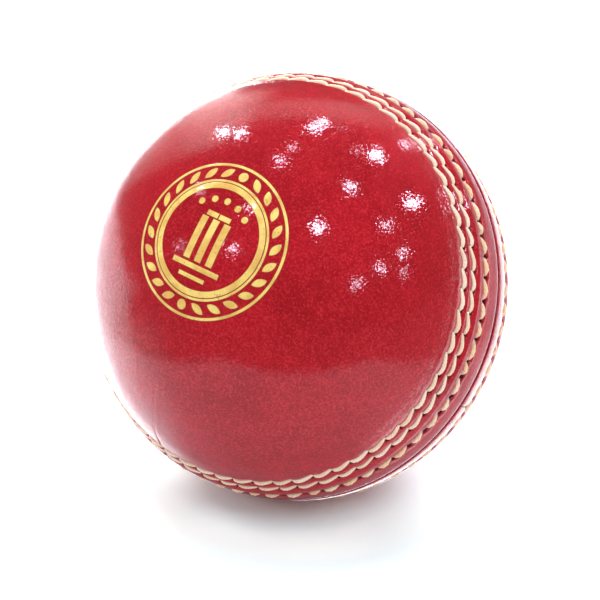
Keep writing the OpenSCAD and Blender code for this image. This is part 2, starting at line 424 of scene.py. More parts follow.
def thread_row(name, side, row, mat):
    L = LAY[(side, row)]
    rings_n, around = 27, 20
    plies = 3
    pitch_mm = 1.75                       # one turn of the twist
    verts, quads, tris, fib, tone, recess_shade_parts = [], [], [], [], [], []
    base = 0
    th = np.linspace(0, 2 * math.pi, around, endpoint=False)
    for k in range(L["n"]):
        k2 = (k + 1) % L["n"]
        a0, a1 = L["az"][k], L["az"][k2] + (2 * math.pi if k2 == 0 else 0)
        path = catmull(L["path"], rings_n).copy()
        u, w, h, fat = path.T
        if row == "closing":
            u = L["short0"][k] + u * (1 - L["short0"][k] - L["short1"][k])
        az = a0 + u * (a1 - a0)
        side_w = (1 - u) * L["w"][k] + u * L["w"][k2] + w * (1 + L["lean"][k]) + L["lean"][k] * (u - 0.5)
        phi = (L["arc"] + side_w) / R
        lift = h + L["lift"][k] * smooth(-0.2, 0.3, h)
        rad = leather_top(side, az, phi) + lift * (L["rad"] / 0.41) ** 0.5
        c = unit(side, az, phi) * rad[:, None]
        t = np.gradient(c, axis=0)
        t /= np.linalg.norm(t, axis=1)[:, None]
        lat = np.stack([-np.sin(phi) * np.cos(az), -np.sin(phi) * np.sin(az), side * np.cos(phi)], -1)
        b = lat - (lat * t).sum(1)[:, None] * t
        b /= np.linalg.norm(b, axis=1)[:, None]
        n = np.cross(t, b)
        s = np.r_[0, np.cumsum(np.linalg.norm(np.diff(c, axis=0), axis=1))]
        twist = L["turn"][k] + s / pitch_mm * 2 * math.pi * (1 if row != "closing" else 0.7) * side
        ang = th[None, :] + np.zeros((rings_n, 1))
        lobe = np.abs(np.cos(plies * 0.5 * (ang - twist[:, None]))) ** 0.7
        a = L["rad"] * fat[:, None] * L["fat"][k] * (0.80 + 0.20 * lobe)
        # pressed flat against the leather and rounder on top
        press = 1 - 0.10 * np.cos(ang - (math.pi / 2 * 0)) ** 2
        pts = (c[:, None, :] + (a * np.cos(ang) * press)[..., None] * n[:, None, :]
               + (a * np.sin(ang) * 1.05)[..., None] * b[:, None, :])
        verts.append(pts.reshape(-1, 3))
        ids = base + np.arange(rings_n * around).reshape(rings_n, around)
        nx = np.roll(ids, -1, axis=1)
        q = np.stack([ids[:-1], ids[1:], nx[1:], nx[:-1]], -1).reshape(-1, 4)
        quads.append(q)
        verts.append(c[[0, -1]])
        e0, e1 = base + rings_n * around, base + rings_n * around + 1
        tris.append(np.stack([ids[0], nx[0], np.full(around, e0)], 1))
        tris.append(np.stack([nx[-1], ids[-1], np.full(around, e1)], 1))
        f = np.stack([s[:, None] + 0 * ang, (ang - twist[:, None]) * L["rad"], np.full_like(ang, k * 3.7)], -1)
        fib.append(f.reshape(-1, 3))
        fib.append(np.zeros((2, 3)))
        tone.append(np.full(rings_n * around + 2, L["tone"][k]))
        # painted shade in the grooves between the plies and where the thread dives into its hole
        crease = (1 - lobe) * 0.70 + 0.9 * smooth(-0.32, -0.66, lift)[:, None]
        recess_shade_parts.append(np.clip(crease, 0, 1).ravel())
        recess_shade_parts.append(np.ones(2))
        base += rings_n * around + 2
    q, t = np.concatenate(quads), np.concatenate(tris)
    o = make_piece(name, np.concatenate(verts), (q, t), [mat],
                   attrs={"fibre": ("FLOAT_VECTOR", np.concatenate(fib)), "tone": ("FLOAT", np.concatenate(tone)),
                          "recess_shade": ("FLOAT", np.concatenate(recess_shade_parts))})
    return o


# ---------------------------------------------------------------- foil stamp
STAMP = rot_z(115 * RAD) @ rot_y(6.5 * RAD) @ rot_z(-127 * RAD)


def foil_patches():
    """Flat grids (n, m, 2) in the stamp's own plane, in mm, each with how far every point
    lies outside the stamped mark; a thin pressed border goes round each mark."""
    out = []

    def spread(lo, hi, e, n):
        return np.r_[lo - e, lo - e * 0.45, np.linspace(lo, hi, n + 1), hi + e * 0.45, hi + e]

    def ring(ro, ri, n, m, e):
        a = np.linspace(0, -2 * math.pi, n + 1)
        r = spread(ri, ro, e, m)
        off = np.maximum(r - ro, ri - r) / e
        out.append((np.stack([np.outer(np.cos(a), r), np.outer(np.sin(a), r)], -1), True,
                    np.repeat(off[None], n + 1, 0)))
    ring(13.1, 12.72, 240, 2, 0.13)
    ring(10.15, 9.8, 200, 2, 0.09)
    ring(9.6, 8.65, 200, 4, 0.10)

    def turned(g, a):
        return g @ np.array([[math.cos(a), math.sin(a)], [-math.sin(a), math.cos(a)]])

    def leaf(length, width, turn_in, where):
        e = 0.13
        s = (length ** 2 / 4 + width ** 2 / 4) / width
        mid = s - width / 2
        big = s + e
        tip = math.sqrt(big * big - mid * mid)
        x = tip * np.sin(np.linspace(-math.pi / 2, math.pi / 2, 25))
        half = np.maximum(np.sqrt(np.maximum(big * big - x * x, 0)) - mid, 0.012)
        v = np.linspace(-1, 1, 13)
        g = np.stack([np.repeat(x[:, None], 13, 1), half[:, None] * v[None, :]], -1)
        off = (np.hypot(g[..., 0], np.abs(g[..., 1]) + mid) - s) / e
        g = turned(turned(g, turn_in) + [0, 11.4], where)
        out.append((g, False, off))
    for s in (-1, 1):
        for i in range(11):
            leaf(2.5, 1.15, s * 35 * RAD, s * (15 + i * 15) * RAD)

    def dot(x, y, r):
        # a disc as a square grid pressed round
        e = 0.12
        v = np.linspace(-1, 1, 17)
        gx, gy = np.meshgrid(v, v, indexing="ij")
        px, py = gx * np.sqrt(1 - gy * gy / 2), gy * np.sqrt(1 - gx * gx / 2)
        out.append((np.stack([x + (r + e) * px, y + (r + e) * py], -1), False, (np.hypot(px, py) * (r + e) - r) / e))
    dot(0, 11.4, 0.8)
    dot(0, -11.4, 0.8)
    for a in range(-40, 41, 20):
        dot(6.7 * math.sin(a * RAD), 6.7 * math.cos(a * RAD), 0.55)

    def bar(x, y, w, h, e=0.12):
        nx, ny = max(2, int(w / 0.3)), max(2, int(h / 0.3))
        gx, gy = np.meshgrid(spread(x - w / 2, x + w / 2, e, nx), spread(y, y + h, e, ny), indexing="ij")
        off = np.maximum(np.abs(gx - x) - w / 2, np.abs(gy - y - h / 2) - h / 2) / e
        out.append((np.stack([gx, gy], -1), False, off))
    for x in (-2.2, 0, 2.2):
        bar(x, -4.2, 1.2, 7.4)
    bar(-1.2, 3.5, 2.1, 0.8)
    bar(1.2, 3.5, 2.1, 0.8)
    bar(0, -5.5, 9.0, 0.8)
    bar(0, -7.1, 5.0, 0.6)
    return out


def foil(name, mat):
    verts, quads, edge = [], [], []
    base = 0
    for g, closed, off in foil_patches():
        n, m = g.shape[:2]
        if closed:
            g, off = g[:-1], off[:-1]
            n -= 1
        off = np.clip(off, 0, 1)
        edge.append(np.tile(off.ravel(), 2))
        z = np.sqrt(R * R - (g ** 2).sum(-1))
        p = np.concatenate([g, z[..., None]], -1) @ STAMP.T
        u = p / np.linalg.norm(p, axis=-1, keepdims=True)
        az, phi = np.arctan2(u[..., 1], u[..., 0]), np.arcsin(np.clip(u[..., 2], -1, 1))
        rad, _ = leather_shape(1, az.ravel(), phi.ravel(), u.reshape(-1, 3))
        rad = rad.reshape(az.shape)
        ragged = 0.006 * noise3(u * R, 0.9, 77)
        top = u * (rad + (0.030 + ragged) * (1 - off) - 0.008 * off)[..., None]
        bot = u * (rad - 0.035)[..., None]
        verts += [top.reshape(-1, 3), bot.reshape(-1, 3)]
        ids = base + np.arange(n * m).reshape(n, m)
        idb = ids + n * m
        if closed:
            a, b = ids, np.roll(ids, -1, axis=0)
            ab, bb = idb, np.roll(idb, -1, axis=0)
        else:
            a, b, ab, bb = ids[:-1], ids[1:], idb[:-1], idb[1:]
        quads.append(np.stack([a[:, :-1], b[:, :-1], b[:, 1:], a[:, 1:]], -1).reshape(-1, 4))
        quads.append(np.stack([ab[:, :-1], ab[:, 1:], bb[:, 1:], bb[:, :-1]], -1).reshape(-1, 4))
        # rims
        quads.append(np.stack([a[:, 0], ab[:, 0], bb[:, 0], b[:, 0]], -1).reshape(-1, 4))
        quads.append(np.stack([a[:, -1], b[:, -1], bb[:, -1], ab[:, -1]], -1).reshape(-1, 4))
        if not closed:
            quads.append(np.stack([ids[0, :-1], ids[0, 1:], idb[0, 1:], idb[0, :-1]], -1).reshape(-1, 4))
            quads.append(np.stack([ids[-1, :-1], idb[-1, :-1], idb[-1, 1:], ids[-1, 1:]], -1).reshape(-1, 4))
        base += 2 * n * m
    return make_piece(name, np.concatenate(verts), (np.concatenate(quads), np.zeros((0, 3), int)), [mat],
                      sharp=40 * RAD, attrs={"edge": ("FLOAT", np.concatenate(edge))})


# ---------------------------------------------------------------- the centre
def cube_sphere(n):
    """Unit directions on six n by n patches with shared edges merged, and their quads."""
    v = np.tan(np.linspace(-1, 1, n + 1) * math.pi / 4)
    a, b = np.meshgrid(v, v, indexing="ij")
    one = np.ones_like(a)
    sides = [(one, a, b), (-one, b, a), (b, one, a), (a, -one, b), (a, b, one), (b, a, -one)]
    pts, quads = [], []
    for i, (x, y, z) in enumerate(sides):
        pts.append(np.stack([x, y, z], -1).reshape(-1, 3))
        ids = i * (n + 1) ** 2 + np.arange((n + 1) ** 2).reshape(n + 1, n + 1)
        quads.append(np.stack([ids[:-1, :-1], ids[1:, :-1], ids[1:, 1:], ids[:-1, 1:]], -1).reshape(-1, 4))
    pts = np.concatenate(pts)
    pts /= np.linalg.norm(pts, axis=1)[:, None]
    _, first, back = np.unique(np.round(pts, 7), axis=0, return_index=True, return_inverse=True)
    back = back.reshape(-1)
    return pts[first], back[np.concatenate(quads)]


def shell_piece(name, n, outer, r_in, mat, attrs=None):
    """A closed shell: outer(directions) gives the outside's radii; r_in 0 makes it solid."""
    d, q = cube_sphere(n)
    verts, quads = [d * outer(d)[:, None]], [q]
    tail = 0
    if r_in > 0:
        d2, q2 = cube_sphere(max(8, n // 4))
        verts.append(d2 * r_in)
        quads.append(q2[:, ::-1] + len(d))
        tail = len(d2)
    at = {k: (t, np.concatenate([f(d), np.zeros((tail,) + f(d).shape[1:])])) for k, (t, f) in (attrs or {}).items()}
    return make_piece(name, np.concatenate(verts), (np.concatenate(quads), np.zeros((0, 3), int)), [mat], attrs=at)


def winding(name, n, r_out, r_in, yarn, turns, seed, mat):
    """Yarn laid over and over in great circles, each turn over the last."""
    rng = np.random.default_rng(seed)
    axes = rng.normal(size=(turns, 3))
    axes /= np.linalg.norm(axes, axis=1)[:, None]
    offs = rng.normal(0, 0.04, turns)
    phase = rng.uniform(0, 6.28, turns)
    cache = {}

    def work(d):
        key = len(d)
        if key in cache:
            return cache[key]
        h = np.full(len(d), -0.55)
        tone = np.zeros(len(d))
        for k in range(turns):
            ax = axes[k]
            side = np.cross(ax, [0.3, 0.5, 0.81])
            side /= np.linalg.norm(side)
            other = np.cross(ax, side)
            along = np.arctan2(d @ other, d @ side)
            dist = (d @ ax - offs[k] * 0.3 - 0.012 * np.sin(2 * along + phase[k])) * r_out / (yarn / 2)
            on = np.abs(dist) < 1
            over = 0.35 * math.sin(k * 2.4) * np.cos(3 * along + phase[k])
            top = np.sqrt(np.maximum(1 - dist * dist, 0)) * 0.8 + over * 0.5 - 0.15
            # the twist of the yarn shows as slanting ridges
            top = top + 0.07 * np.cos(along * r_out / (yarn * 0.42) + dist * 2.2)
            take = on & (top > h)
            h = np.where(take, top, h)
            tone = np.where(take, (k * 0.618) % 1.0, tone)
        cache[key] = (h, tone)
        return cache[key]

    def outer(d):
        h = work(d)[0]
        return r_out - 0.03 + (h - h.max()) * yarn / 2 * 0.55
    # the shade value is painted shade: darker where the yarn lies lower between the turns
    return shell_piece(name, n, outer, r_in, mat, {"tone": ("FLOAT", lambda d: work(d)[1]),
                                                   "recess_shade": ("FLOAT", lambda d: np.clip(0.45 - work(d)[0] * 0.6, 0, 1))})


def nucleus(name, r, mat):
    def outer(d):
        p = d * r
        g = noise3(p, 1.9, 301)
        return r - 0.22 + 0.10 * g + 0.07 * noise3(p, 0.9, 302) - 0.10 * (np.abs(noise3(p, 3.1, 303)) < 0.06)
    return shell_piece(name, 56, outer, 0, mat)


def quarter_thread(name, side, mat):
    """The quarter seam's own stitches, on the inside of one cup."""
    turn = QUARTER_TURN if side > 0 else QUARTER_TURN + math.pi / 2
    e1 = np.array([math.cos(turn), math.sin(turn), 0.0])
    e2 = np.array([-math.sin(turn), math.cos(turn), 0.0])
    e3 = np.array([0, 0, float(side)])
    rng = np.random.default_rng(70 + side)
    verts, quads, tris, fib, tone, recess_shade_parts = [], [], [], [], [], []
    base, rings_n, around = 0, 13, 14
    th = np.linspace(0, 2 * math.pi, around, endpoint=False)
    for deg in range(24, 157, 4):
        a = (deg + rng.normal(0, 0.25)) * RAD
        rad_dir = math.cos(a) * e1 + math.sin(a) * e3
        tan_dir = -math.sin(a) * e1 + math.cos(a) * e3
        s = np.linspace(-1.55, 1.55, rings_n)
        slant = rng.normal(0.18, 0.03)
        c = (rad_dir[None] * (R_IN + 0.31 + 0.10 * (s[:, None] / 1.55) ** 4) + s[:, None] * e2[None]
             + slant * s[:, None] * tan_dir[None])
        t = e2 + slant * tan_dir
        t /= np.linalg.norm(t)
        n = rad_dir
        b = np.cross(t, n)
        twist = s / 1.1 * 2 * math.pi + rng.uniform(0, 6)
        ang = th[None] + 0 * s[:, None]
        lobe = np.abs(np.cos(1.5 * (ang - twist[:, None]))) ** 0.7
        end = np.sqrt(np.clip(1 - (np.abs(s) / 1.62) ** 6, 0.05, 1))
        rr = 0.245 * (0.8 + 0.2 * lobe) * end[:, None]
        pts = c[:, None] + (rr * np.cos(ang))[..., None] * n + (rr * np.sin(ang))[..., None] * b
        ids = base + np.arange(rings_n * around).reshape(rings_n, around)
        nx = np.roll(ids, -1, axis=1)
        verts += [pts.reshape(-1, 3), c[[0, -1]]]
        quads.append(np.stack([ids[:-1], nx[:-1], nx[1:], ids[1:]], -1).reshape(-1, 4))
        k0, k1 = base + rings_n * around, base + rings_n * around + 1
        tris.append(np.stack([nx[0], ids[0], np.full(around, k0)], 1))
        tris.append(np.stack([ids[-1], nx[-1], np.full(around, k1)], 1))
        f = np.stack([s[:, None] + 0 * ang, (ang - twist[:, None]) * 0.25, np.full_like(ang, deg * 1.3)], -1)
        fib += [f.reshape(-1, 3), np.zeros((2, 3))]
        tone.append(np.full(rings_n * around + 2, rng.uniform()))
        # painted shade in the grooves between the plies
        recess_shade_parts += [((1 - lobe) * 0.7).ravel(), np.ones(2)]
        base += rings_n * around + 2
    return make_piece(name, np.concatenate(verts), (np.concatenate(quads), np.concatenate(tris)), [mat],
                      attrs={"fibre": ("FLOAT_VECTOR", np.concatenate(fib)), "tone": ("FLOAT", np.concatenate(tone)),
                             "recess_shade": ("FLOAT", np.concatenate(recess_shade_parts))})


# ---------------------------------------------------------------- materials
class Nodes:
    """A small helper for building node trees; p(x) in mm is the object's own position."""

    def __init__(self, tree):
        self.t = tree
        tree.nodes.clear()

    def add(self, kind, **kw):
        n = self.t.nodes.new(kind)
        for k, v in kw.items():
            setattr(n, k, v)
        return n

    def set(self, sock, v):
        if isinstance(v, bpy.types.NodeSocket):
            self.t.links.new(v, sock)
        elif v is not None:
            sock.default_value = v

    def math(self, op, a, b=None, c=None, clamp=False):
        n = self.add("ShaderNodeMath", operation=op, use_clamp=clamp)
        for i, v in enumerate((a, b, c)):
            if v is not None:
                self.set(n.inputs[i], v)
        return n.outputs[0]

    def vmath(self, op, a, b=None, scale=None, out=0):
        n = self.add("ShaderNodeVectorMath", operation=op)
        self.set(n.inputs[0], a)
        if b is not None:
            self.set(n.inputs[1], b)
        if scale is not None:
            n.inputs["Scale"].default_value = scale
        return n.outputs[out]

    def position(self):
        c = self.add("ShaderNodeTexCoord")
        return self.vmath("SCALE", c.outputs["Object"], scale=1000.0)

    def noise(self, vec, scale, detail=2.0, rough=0.5, distortion=0.0):
        n = self.add("ShaderNodeTexNoise")
        self.set(n.inputs["Vector"], vec)
        n.inputs["Scale"].default_value = scale
        n.inputs["Detail"].default_value = detail
        n.inputs["Roughness"].default_value = rough
        n.inputs["Distortion"].default_value = distortion
        return n.outputs[0]

    def voronoi(self, vec, scale, feature="F1", rand=1.0):
        n = self.add("ShaderNodeTexVoronoi", feature=feature)
        self.set(n.inputs["Vector"], vec)
        n.inputs["Scale"].default_value = scale
        n.inputs["Randomness"].default_value = rand
        return n.outputs["Distance"]

    def facets(self, vec, scale, amount, normal):
        """The normal tipped a little, each small cell its own way."""
        n = self.add("ShaderNodeTexVoronoi", feature="F1")
        self.set(n.inputs["Vector"], vec)
        n.inputs["Scale"].default_value = scale
        tip = self.vmath("SCALE", self.vmath("SUBTRACT", n.outputs["Color"], (0.5, 0.5, 0.5)), scale=amount)
        return self.vmath("NORMALIZE", self.vmath("ADD", normal, tip))

    def remap(self, v, a, b, lo=0.0, hi=1.0, soft=True):
        n = self.add("ShaderNodeMapRange", interpolation_type="SMOOTHSTEP" if soft else "LINEAR")
        n.clamp = True
        self.set(n.inputs["Value"], v)
        for i, x in zip((1, 2, 3, 4), (a, b, lo, hi)):
            n.inputs[i].default_value = x
        return n.outputs[0]

    def mix(self, fac, a, b, mode="MIX"):
        n = self.add("ShaderNodeMix", data_type="RGBA", blend_type=mode)
        self.set(n.inputs[0], fac)
        for i, v in ((6, a), (7, b)):
            if isinstance(v, (tuple, list)):
                v = (*v, 1.0)[:4]
            self.set(n.inputs[i], v)
        return n.outputs[2]

    def attr(self, name, out="Fac"):
        n = self.add("ShaderNodeAttribute", attribute_name=name)
        return n.outputs[out]

    def bump(self, height, distance, strength=1.0, normal=None):
        n = self.add("ShaderNodeBump")
        n.inputs["Distance"].default_value = distance
        n.inputs["Strength"].default_value = strength
        self.set(n.inputs["Height"], height)
        if normal is not None:
            self.set(n.inputs["Normal"], normal)
        return n.outputs[0]

    def principled(self, **kw):
        p = self.add("ShaderNodeBsdfPrincipled")
        out = self.add("ShaderNodeOutputMaterial")
        self.t.links.new(p.outputs[0], out.inputs[0])
        for k, v in kw.items():
            if isinstance(v, tuple) and len(v) == 3:
                v = (*v, 1.0)
            self.set(p.inputs[k.replace("_", " ")], v)
        return p


def material(name):
    m = bpy.data.materials.new(name)
    m.use_nodes = True
    return m, Nodes(m.node_tree)


def coat_peel(t, p):
    """Orange peel and fine grain of the lacquer, in units of PEEL_DEPTH."""
    coarse = t.math("MULTIPLY", t.noise(p, 0.55, 1.0, 0.5), 0.8)
    pebble = t.math("MULTIPLY", t.remap(t.voronoi(p, 1.7), 0.05, 0.60, 1.0, 0.0), PEBBLE)
    return t.math("ADD", t.math("ADD", t.noise(p, PEEL_SCALE, 1.0, 0.5, 0.8), coarse), pebble)


def leather_material():
    m, t = material("lacquered_red_leather")
    p = t.position()
    recess_shade, inside = t.attr("recess_shade"), t.attr("inside")
    broad = t.noise(p, 0.085, 3.0, 0.55)
    mid = t.noise(p, 0.42, 3.0, 0.55)
    fine = t.noise(p, 2.6, 3.0, 0.7)
    dye_and_shade = t.mix(t.remap(broad, 0.32, 0.68), LEATHER_DARK, LEATHER_LIGHT)
    dye_and_shade = t.mix(t.math("MULTIPLY", t.remap(mid, 0.40, 0.75), 0.32), dye_and_shade, LEATHER_BRIGHT)
    speck = t.math("MULTIPLY", t.remap(fine, 0.40, 0.58, 1.0, 0.0), 0.62)
    dye_and_shade = t.mix(speck, dye_and_shade, LEATHER_SHADE)
    dye_and_shade = t.mix(t.math("MULTIPLY", t.remap(fine, 0.53, 0.66), 0.60), dye_and_shade, LEATHER_GLINT)
    # painted shade: the leather goes near black in its creases, holes and seam lines
    dye_and_shade = t.mix(t.math("MULTIPLY", t.remap(recess_shade, 0.05, 0.95), 0.86), dye_and_shade, (0.030, 0.0035, 0.005))
    suede = t.mix(mid, (0.42, 0.22, 0.18), (0.60, 0.40, 0.32))
    base = t.mix(inside, dye_and_shade, suede)
    # grain under the lacquer, and the lacquer's own orange peel
    pore = t.voronoi(p, 1.9)
    grain = t.math("ADD", t.math("MULTIPLY", t.noise(p, 2.6, 4.0, 0.62), 0.7),
                   t.math("MULTIPLY", t.remap(pore, 0.0, 0.45), 0.3))
    under = t.bump(grain, 0.00006, 0.55)
    over = t.facets(p, 2.9, FACETS, t.bump(coat_peel(t, p), PEEL_DEPTH, 1.0))
    rough = t.math("ADD", t.remap(mid, 0.3, 0.7, 0.40, 0.52), t.math("MULTIPLY", recess_shade, 0.2))
    coat = t.math("MULTIPLY", t.remap(recess_shade, 0.35, 0.85, 1.0, 0.25), t.math("SUBTRACT", 1.0, inside))
    coat = t.math("MULTIPLY", coat, t.remap(fine, 0.38, 0.60, 0.76, 1.0))
    t.principled(Base_Color=base, Roughness=rough, Specular_IOR_Level=0.10, Normal=under, Coat_Weight=coat,
                 Coat_Roughness=t.remap(fine, 0.3, 0.7, 0.02, 0.05), Coat_IOR=1.53, Coat_Normal=over)
    return m


def thread_material(name, pale, warm, dirt_and_shade):
    m, t = material(name)
    f = t.attr("fibre", "Vector")
    tone, recess_shade = t.attr("tone"), t.attr("recess_shade")
    n = t.add("ShaderNodeMapping")
    t.set(n.inputs["Vector"], f)
    n.inputs["Scale"].default_value = (0.9, 7.0, 1.0)
    strand = t.noise(n.outputs[0], 2.2, 3.0, 0.6)
    p = t.position()
    cloud = t.noise(p, 0.55, 2.0)
    col = t.mix(t.remap(tone, 0.0, 1.0), pale, warm)
    col = t.mix(t.math("MULTIPLY", t.remap(strand, 0.35, 0.68, 1.0, 0.0), 0.35), col, dirt_and_shade)
    col = t.mix(t.math("MULTIPLY", t.remap(cloud, 0.45, 0.75), 0.18), col, dirt_and_shade)
    # painted shade in the ply grooves and at the holes, in a darker copy of the dirt colour
    col = t.mix(t.math("MULTIPLY", t.remap(recess_shade, 0.25, 1.0), 0.80), col, tuple(c * 0.30 for c in dirt_and_shade))
    b = t.bump(strand, 0.00005, 0.8)
    t.principled(Base_Color=col, Roughness=t.remap(strand, 0.3, 0.7, 0.55, 0.75), Specular_IOR_Level=0.3, Normal=b,
                 Sheen_Weight=0.25, Sheen_Roughness=0.5)
    return m


def foil_material():
    m, t = material("gold_foil")
    p = t.position()
    fine = t.noise(p, 2.6, 3.0, 0.65)
    broad = t.noise(p, 0.35, 2.0)
    wear = t.math("ADD", t.remap(fine, 0.60, 0.72), t.math("MULTIPLY", t.remap(t.noise(p, 1.1, 4.0, 0.7), 0.63, 0.70), 0.8),
                  clamp=True)
    gold = t.mix(t.remap(broad, 0.35, 0.65), FOIL_DEEP, FOIL_LIGHT)
    col = t.mix(t.math("MULTIPLY", wear, 0.75), gold, (0.35, 0.06, 0.02))
    # a thin dark border is painted round each mark
    rim = t.remap(t.attr("edge"), 0.02, 0.42)
    col = t.mix(rim, col, (0.135, 0.014, 0.010))
    b = t.bump(t.math("ADD", coat_peel(t, p), t.math("MULTIPLY", fine, 0.5)), PEEL_DEPTH, 1.0)
    t.principled(Base_Color=col, Metallic=t.math("MULTIPLY", t.remap(wear, 0.0, 1.0, 0.22, 0.05), t.math("SUBTRACT", 1.0, rim)), Roughness=t.remap(fine, 0.3, 0.7, 0.34, 0.50),
                 Normal=b, Coat_Weight=t.remap(wear, 0.0, 1.0, 0.55, 0.9), Coat_Roughness=0.08)
    return m


def cork_material(name, a, b, c, scale):
    m, t = material(name)
    p = t.position()
    cell = t.voronoi(p, scale)
    n = t.noise(p, scale * 0.6, 4.0, 0.6)
    flecks = t.remap(t.noise(p, scale * 1.4, 3.0, 0.65), 0.60, 0.68)
    col = t.mix(t.remap(n, 0.3, 0.7), a, b)
    col = t.mix(t.math("MULTIPLY", t.remap(cell, 0.1, 0.6), 0.35), col, c)
    col = t.mix(flecks, col, tuple(x * 0.25 for x in c))
    h = t.math("SUBTRACT", n, t.math("MULTIPLY", flecks, 0.6))
    t.principled(Base_Color=col, Roughness=t.remap(n, 0.3, 0.7, 0.75, 0.92), Specular_IOR_Level=0.25,
                 Normal=t.bump(h, 0.00025, 0.8))
    return m


def wool_material(name, pale, warm):
    m, t = material(name)
    p = t.position()
    hair = t.noise(p, 3.2, 5.0, 0.7, 1.5)
    tone, recess_shade = t.attr("tone"), t.attr("recess_shade")
    col = t.mix(t.remap(tone, 0.0, 1.0), pale, warm)
    col = t.mix(t.math("MULTIPLY", t.remap(hair, 0.35, 0.7, 1.0, 0.0), 0.35), col, tuple(x * 0.5 for x in warm))
    # painted shade where the yarn lies lower between the turns
    col = t.mix(t.math("MULTIPLY", recess_shade, 0.6), col, tuple(x * 0.35 for x in warm))
    t.principled(Base_Color=col, Roughness=t.remap(hair, 0.3, 0.7, 0.8, 0.95), Specular_IOR_Level=0.2,
                 Sheen_Weight=0.4, Normal=t.bump(hair, 0.0001, 0.8))
    return m


def suede_material():
    m, t = material("suede_lining")
    p = t.position()
    n = t.noise(p, 1.8, 4.0, 0.65)
    col = t.mix(t.remap(n, 0.3, 0.7), (0.46, 0.33, 0.21), (0.66, 0.52, 0.36))
    t.principled(Base_Color=col, Roughness=t.remap(n, 0.3, 0.7, 0.8, 0.95), Sheen_Weight=0.3,
                 Normal=t.bump(n, 0.0001, 0.7))
    return m


LEATHER_DARK = (0.330, 0.0055, 0.0120)
LEATHER_LIGHT = (0.440, 0.0085, 0.0180)
LEATHER_BRIGHT = (0.560, 0.0180, 0.0270)
LEATHER_SHADE = (0.215, 0.0030, 0.0085)
LEATHER_GLINT = (0.500, 0.0280, 0.0370)
FOIL_DEEP = (0.800, 0.500, 0.125)
FOIL_LIGHT = (0.960, 0.730, 0.210)
PEEL_SCALE = 2.4
PEEL_DEPTH = 0.000013
PEBBLE = 0.45
FACETS = 0.036

MAT = {
    "leather": leather_material(),
    "linen": thread_material("cream_linen_thread", (0.94, 0.81, 0.67), (0.90, 0.69, 0.51), (0.52, 0.32, 0.20)),
    "waxed": thread_material("waxed_linen_thread", (0.94, 0.78, 0.57), (0.90, 0.66, 0.40), (0.50, 0.29, 0.14)),
    "foil": foil_material(),
    "cork": cork_material("natural_cork", (0.50, 0.31, 0.16), (0.62, 0.42, 0.24), (0.36, 0.20, 0.10), 1.1),
    "cork_rubber": cork_material("cork_and_rubber", (0.20, 0.11, 0.06), (0.34, 0.20, 0.11), (0.10, 0.055, 0.035), 0.7),
    "wool": wool_material("wound_wool", (0.74, 0.64, 0.48), (0.66, 0.52, 0.36)),
    "worsted": wool_material("worsted_yarn", (0.80, 0.72, 0.57), (0.72, 0.60, 0.44)),
    "suede": suede_material(),
}

# ---------------------------------------------------------------- build and hand over
def hand_over(o, nodes):
    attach(o, "root")
    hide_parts(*nodes)


for label, side, half in (("stamped_left", 1, 1), ("stamped_right", 1, -1), ("plain_upper", -1, 1),
                          ("plain_lower", -1, -1)):
    o = quarter("leather_" + label, side, half, MAT["leather"])
    hand_over(o, ["leather_quarter_" + label])

for cup, side in (("stamped", 1), ("plain", -1)):
    for row, node, slot, mat in (("outer", "outer_grip_row_", "linen_thread", "linen"),
                                 ("inner", "inner_grip_row_", "linen_thread", "linen"),
                                 ("closing", "closing_row_", "waxed_linen_thread", "waxed")):
        o = thread_row(row + "_thread_" + cup, side, row, MAT[mat])
        hand_over(o, [node + cup])
    o = quarter_thread("hidden_thread_" + cup, side, MAT["linen"])
    hand_over(o, ["quarter_thread_" + cup])

hand_over(foil("foil_stamp", MAT["foil"]), ["gold_foil_stamp"])

R_LIN = 31.4
CORK_T = 1.6
WOUND = (R_LIN - 14.0 - 4 * CORK_T) / 6.5
for i in (1, 2, 3, 4):
    r_in = 14.0 + (i - 1) * (WOUND + CORK_T)
    o = winding("wool_turns_%d" % i, 40 + 8 * i, r_in + WOUND, r_in, 1.7, 70 + 26 * i, 40 + i, MAT["wool"])
    hand_over(o, ["wool_winding_%d" % i])
o = winding("worsted_turns", 96, R_LIN, 14.0 + 4 * (WOUND + CORK_T), 1.7, 240, 49, MAT["worsted"])
hand_over(o, ["worsted_outer_winding"])
hand_over(nucleus("moulded_nucleus", 14.0, MAT["cork_rubber"]), ["core_nucleus"])

for name, o in frame["nodes"].items():
    if name.startswith("cork_slips"):
        m = MAT["cork"]
    elif name.startswith("cup_lining"):
        m = MAT["suede"]
    else:
        continue
    if not o.material_slots:
        o.data.materials.append(m)
    for s in o.material_slots:
        s.material = m

# ---------------------------------------------------------------- stage, camera and light
VISUAL_BOX = as_list(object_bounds())
FLOOR_Z = min(VISUAL_BOX[0][2], VISUAL_BOX[1][2])
AZ, EL = 26.0 * RAD, 26.5 * RAD
CAM_R = np.array([math.cos(AZ), math.sin(AZ), 0.0])
CAM_V = np.array([math.sin(AZ) * math.cos(EL), -math.cos(AZ) * math.cos(EL), math.sin(EL)])
CAM_U = np.cross(CAM_V, CAM_R)

cam = bpy.data.cameras.new("camera")
cam.sensor_width = 36.0
cam.lens = 175.7
cam.shift_x = 0.0065
cam.shift_y = -0.0223
cam.clip_start = 0.01
cam.clip_end = 50.0
cam_o = bpy.data.objects.new("camera", cam)
bpy.context.scene.collection.objects.link(cam_o)
cam_o.location = Vector([float(c) for c in CAM_V * 0.504])
cam_o.rotation_euler = Vector([float(c) for c in CAM_V]).to_track_quat("Z", "Y").to_euler()
bpy.context.scene.camera = cam_o


def mirrored_at(t, d):
    """Where on the ball's face (x right, y up, in ball radii) a mirrored direction d shows."""
    h = t.vmath("NORMALIZE", t.vmath("ADD", d, tuple(float(c) for c in CAM_V)))
    return (t.vmath("DOT_PRODUCT", h, tuple(float(c) for c in CAM_R), out=1),
            t.vmath("DOT_PRODUCT", h, tuple(float(c) for c in CAM_U), out=1),
            t.vmath("DOT_PRODUCT", h, tuple(float(-c) for c in LAID[:, 2]), out=1))


